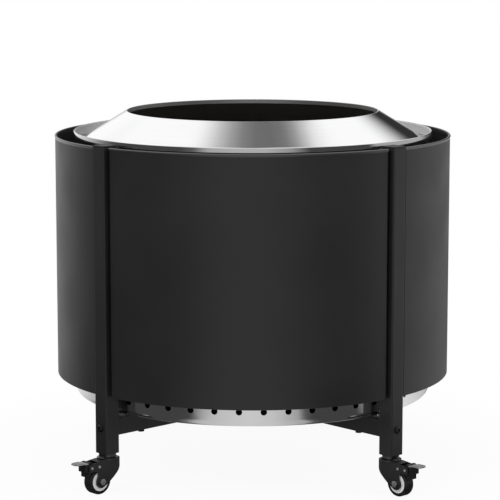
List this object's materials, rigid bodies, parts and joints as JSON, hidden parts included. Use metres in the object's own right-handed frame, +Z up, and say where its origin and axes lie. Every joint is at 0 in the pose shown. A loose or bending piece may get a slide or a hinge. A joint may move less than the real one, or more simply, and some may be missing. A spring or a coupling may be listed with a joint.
{
  "type": "fire pit",
  "caption": "Round smokeless fire pit: double-walled steel drum with a loose flame ring, in a black panelled shell on square posts with braked swivel casters.",
  "frame": {"origin": "on the ground under the centre of the drum", "axes": "+Z up; the front faces -Y, and the posts stand on the diagonals"},
  "size_m": [0.76, 0.76, 0.6881],
  "materials": {
    "powder_coat": "satin black powder coat, fine texture",
    "black_plastic": "matt black moulded plastic",
    "black_screw": "black oxide",
    "race_steel": "blackened and oiled",
    "zinc_plate": "zinc plated, satin",
    "polished_steel": "polished stainless steel",
    "chamber_steel": "stainless steel, dulled by heat",
    "cast_iron": "dark, sooty",
    "hub_plastic": "pale grey moulded plastic",
    "tread_rubber": "black moulded tread"
  },
  "bodies": {
    "root": {"post_front_left": "powder_coat", "post_front_right": "powder_coat", "post_rear_right": "powder_coat", "post_rear_left": "powder_coat", "brace_rail_long": "powder_coat", "brace_rail_front_right": "powder_coat", "brace_rail_rear_left": "powder_coat", "brace_cross_plate": "powder_coat", "side_panel_front": "powder_coat", "side_panel_right": "powder_coat", "side_panel_back": "powder_coat", "side_panel_left": "powder_coat", "post_caps": "black_plastic", "post_bolts": "black_screw", "caster_stem_front_left": "race_steel", "caster_stem_front_right": "race_steel", "caster_stem_rear_right": "race_steel", "caster_stem_rear_left": "race_steel", "brace_cross_bolts": "zinc_plate", "caster_sockets": "black_plastic", "rail_plugs": "black_plastic", "drum_bolts": "black_screw", "drum_spacers": "zinc_plate", "panel_screws": "black_screw", "outer_drum": "polished_steel", "inner_drum": "chamber_steel", "chamber_floor": "chamber_steel", "gallery_ring": "chamber_steel"},
    "flame_ring": {"flame_ring": "polished_steel"},
    "grate": {"fire_grate": "cast_iron"},
    "ash_pan": {"ash_pan": "chamber_steel", "ash_pan_bar": "chamber_steel"},
    "fork_front_left": {"caster_fork_front_left": "powder_coat", "caster_rivets_front_left": "zinc_plate", "caster_axle_front_left": "zinc_plate"},
    "wheel_front_left": {"caster_hub_front_left": "hub_plastic", "caster_tyre_front_left": "tread_rubber"},
    "brake_front_left": {"brake_pedal_front_left": "zinc_plate", "brake_shoe_front_left": "black_plastic"},
    "fork_front_right": {"caster_fork_front_right": "powder_coat", "caster_rivets_front_right": "zinc_plate", "caster_axle_front_right": "zinc_plate"},
    "wheel_front_right": {"caster_hub_front_right": "hub_plastic", "caster_tyre_front_right": "tread_rubber"},
    "brake_front_right": {"brake_pedal_front_right": "zinc_plate", "brake_shoe_front_right": "black_plastic"},
    "fork_rear_right": {"caster_fork_rear_right": "powder_coat", "caster_rivets_rear_right": "zinc_plate", "caster_axle_rear_right": "zinc_plate"},
    "wheel_rear_right": {"caster_hub_rear_right": "hub_plastic", "caster_tyre_rear_right": "tread_rubber"},
    "brake_rear_right": {"brake_pedal_rear_right": "zinc_plate", "brake_shoe_rear_right": "black_plastic"},
    "fork_rear_left": {"caster_fork_rear_left": "powder_coat", "caster_rivets_rear_left": "zinc_plate", "caster_axle_rear_left": "zinc_plate"},
    "wheel_rear_left": {"caster_hub_rear_left": "hub_plastic", "caster_tyre_rear_left": "tread_rubber"},
    "brake_rear_left": {"brake_pedal_rear_left": "zinc_plate", "brake_shoe_rear_left": "black_plastic"}
  },
  "joints": [
    {"name": "flame_ring_lift", "type": "slide", "parent": "root", "child": "flame_ring", "axis": [0, 0, 1], "range_m": [0, 0.35]},
    {"name": "grate_lift", "type": "slide", "parent": "root", "child": "grate", "axis": [0, 0, 1], "range_m": [0, 0.65]},
    {"name": "ash_pan_lift", "type": "slide", "parent": "root", "child": "ash_pan", "axis": [0, 0, 1], "range_m": [0, 0.56]},
    {"name": "swivel_front_left", "type": "hinge", "parent": "root", "child": "fork_front_left", "pos_m": [-0.26234, -0.26234, 0.062], "axis": [0, 0, 1], "continuous": true},
    {"name": "wheel_spin_front_left", "type": "hinge", "parent": "fork_front_left", "child": "wheel_front_left", "pos_m": [-0.28001, -0.28001, 0.025], "axis": [0.7071, -0.7071, 0], "continuous": true},
    {"name": "brake_press_front_left", "type": "hinge", "parent": "fork_front_left", "child": "brake_front_left", "pos_m": [-0.29628, -0.29628, 0.054], "axis": [0.7071, -0.7071, 0], "range_deg": [0, 12]},
    {"name": "swivel_front_right", "type": "hinge", "parent": "root", "child": "fork_front_right", "pos_m": [0.26234, -0.26234, 0.062], "axis": [0, 0, 1], "continuous": true},
    {"name": "wheel_spin_front_right", "type": "hinge", "parent": "fork_front_right", "child": "wheel_front_right", "pos_m": [0.28001, -0.28001, 0.025], "axis": [0.7071, 0.7071, 0], "continuous": true},
    {"name": "brake_press_front_right", "type": "hinge", "parent": "fork_front_right", "child": "brake_front_right", "pos_m": [0.29628, -0.29628, 0.054], "axis": [0.7071, 0.7071, 0], "range_deg": [0, 12]},
    {"name": "swivel_rear_right", "type": "hinge", "parent": "root", "child": "fork_rear_right", "pos_m": [0.26234, 0.26234, 0.062], "axis": [0, 0, 1], "continuous": true},
    {"name": "wheel_spin_rear_right", "type": "hinge", "parent": "fork_rear_right", "child": "wheel_rear_right", "pos_m": [0.28001, 0.28001, 0.025], "axis": [-0.7071, 0.7071, 0], "continuous": true},
    {"name": "brake_press_rear_right", "type": "hinge", "parent": "fork_rear_right", "child": "brake_rear_right", "pos_m": [0.29628, 0.29628, 0.054], "axis": [-0.7071, 0.7071, 0], "range_deg": [0, 12]},
    {"name": "swivel_rear_left", "type": "hinge", "parent": "root", "child": "fork_rear_left", "pos_m": [-0.26234, 0.26234, 0.062], "axis": [0, 0, 1], "continuous": true},
    {"name": "wheel_spin_rear_left", "type": "hinge", "parent": "fork_rear_left", "child": "wheel_rear_left", "pos_m": [-0.28001, 0.28001, 0.025], "axis": [-0.7071, -0.7071, 0], "continuous": true},
    {"name": "brake_press_rear_left", "type": "hinge", "parent": "fork_rear_left", "child": "brake_rear_left", "pos_m": [-0.29628, 0.29628, 0.054], "axis": [-0.7071, -0.7071, 0], "range_deg": [0, 12]}
  ],
  "couplings": [
    {"joint": "ash_pan_lift", "follows": "grate_lift", "ratio": 0.85}
  ]
}
